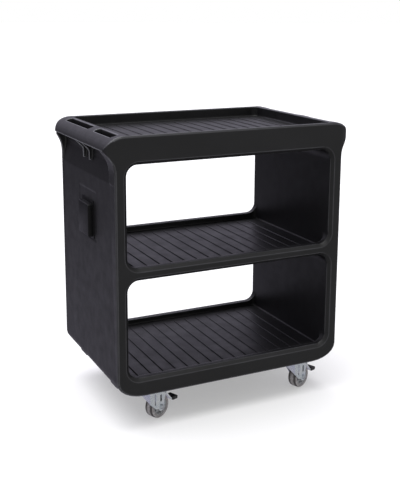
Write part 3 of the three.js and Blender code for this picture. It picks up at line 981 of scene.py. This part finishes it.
# ================================================================ floor, light and camera
def make_floor():
    """A floor that lights the trolley from below but isn't mirrored in it."""
    bm = bmesh.new()
    bmesh.ops.create_circle(bm, cap_ends=True, radius=FLOOR_RADIUS, segments=96)
    floor = object_from(bm, "floor")
    floor.data.materials.append(floor_paint())
    floor.visible_glossy = False


def aim(obj, target):
    """Turns obj to look at target."""
    direction = Vector(target) - obj.location
    obj.rotation_euler = direction.to_track_quat("-Z", "Y").to_euler()


def graded(tree, value, low, high, out_low, out_high):
    """Smooth step of a world value between two outputs."""
    node = tree.nodes.new("ShaderNodeMapRange")
    node.interpolation_type = "SMOOTHSTEP"
    limits = {"From Min": low, "From Max": high, "To Min": out_low, "To Max": out_high}
    for key, number in limits.items():
        node.inputs[key].default_value = number
    tree.links.new(value, node.inputs["Value"])
    return node.outputs["Result"]


def wall_strength(tree, axes, behind):
    """How bright the walls are in each direction."""
    height = axes.outputs["Z"]
    back_wall = tree.nodes.new("ShaderNodeMath")
    back_wall.operation = "MAXIMUM"
    tree.links.new(graded(tree, height, *ABOVE), back_wall.inputs[0])
    tree.links.new(graded(tree, height, *BELOW), back_wall.inputs[1])
    strength = tree.nodes.new("ShaderNodeMix")
    tree.links.new(behind, strength.inputs["Factor"])
    tree.links.new(graded(tree, height, *FRONT_RISE, *FRONT_WALL), strength.inputs[2])
    tree.links.new(back_wall.outputs[0], strength.inputs[3])
    return strength.outputs[0]


def wall_tint(tree, behind):
    """White in front, lilac behind."""
    tint = tree.nodes.new("ShaderNodeMix")
    tint.data_type = "RGBA"
    tint.inputs[6].default_value = (*NEUTRAL, 1)
    tint.inputs[7].default_value = (*LILAC, 1)
    tree.links.new(behind, tint.inputs["Factor"])
    return tint.outputs[2]


def white_for_camera(tree, walls):
    """Shows plain white beyond the floor, while the walls light and reflect in the trolley."""
    white = tree.nodes.new("ShaderNodeBackground")
    white.inputs["Color"].default_value = (*NEUTRAL, 1)
    choice = tree.nodes.new("ShaderNodeMixShader")
    rays = tree.nodes.new("ShaderNodeLightPath")
    tree.links.new(rays.outputs["Is Camera Ray"], choice.inputs[0])
    tree.links.new(walls.outputs[0], choice.inputs[1])
    tree.links.new(white.outputs[0], choice.inputs[2])
    tree.links.new(choice.outputs[0], tree.nodes["World Output"].inputs["Surface"])


def make_world():
    """Studio walls: even in front, and behind dark at eye level and lilac above and below it."""
    world = bpy.data.worlds.new("studio")
    bpy.context.scene.world = world
    world.use_nodes = True
    tree = world.node_tree
    walls = tree.nodes["Background"]
    place = tree.nodes.new("ShaderNodeTexCoord")
    axes = tree.nodes.new("ShaderNodeSeparateXYZ")
    tree.links.new(place.outputs["Generated"], axes.inputs["Vector"])
    behind = graded(tree, axes.outputs["Y"], *BEHIND, 0.0, 1.0)
    tree.links.new(wall_strength(tree, axes, behind), walls.inputs["Strength"])
    tree.links.new(wall_tint(tree, behind), walls.inputs["Color"])
    white_for_camera(tree, walls)


def make_overhead():
    """One broad soft light from above."""
    sun = bpy.data.lights.new("overhead", "SUN")
    sun.energy = OVERHEAD
    sun.angle = math.radians(OVERHEAD_ANGLE)
    overhead = bpy.data.objects.new("overhead", sun)
    bpy.context.scene.collection.objects.link(overhead)
    overhead.location = OVERHEAD_PLACE
    aim(overhead, (0, 0, 0))


def make_camera():
    """The photograph's view, with a small shift down for its nearly upright edges."""
    data = bpy.data.cameras.new("camera")
    data.sensor_fit = "VERTICAL"
    data.sensor_height = SENSOR
    data.sensor_width = SENSOR
    data.lens = LENS
    data.shift_y = SHIFT_Y
    data.dof.use_dof = False
    camera = bpy.data.objects.new("camera", data)
    bpy.context.scene.collection.objects.link(camera)
    camera.location = CAMERA_PLACE
    yaw, pitch, roll = (math.radians(a) for a in (CAMERA_YAW, CAMERA_PITCH, CAMERA_ROLL))
    level = math.cos(pitch)
    forward = Vector((math.sin(yaw) * level, math.cos(yaw) * level, -math.sin(pitch)))
    turn = forward.to_track_quat("-Z", "Y").to_matrix()
    camera.rotation_euler = (turn @ Matrix.Rotation(roll, 3, "Z")).to_euler()
    bpy.context.scene.camera = camera


bpy.context.scene.view_settings.view_transform = "Standard"
make_camera()
make_materials()
make_body()
make_ribs()
make_hanger(-1, "hanger_block_left")
make_hanger(1, "hanger_block_right")
make_casters()
make_floor()
make_world()
make_overhead()
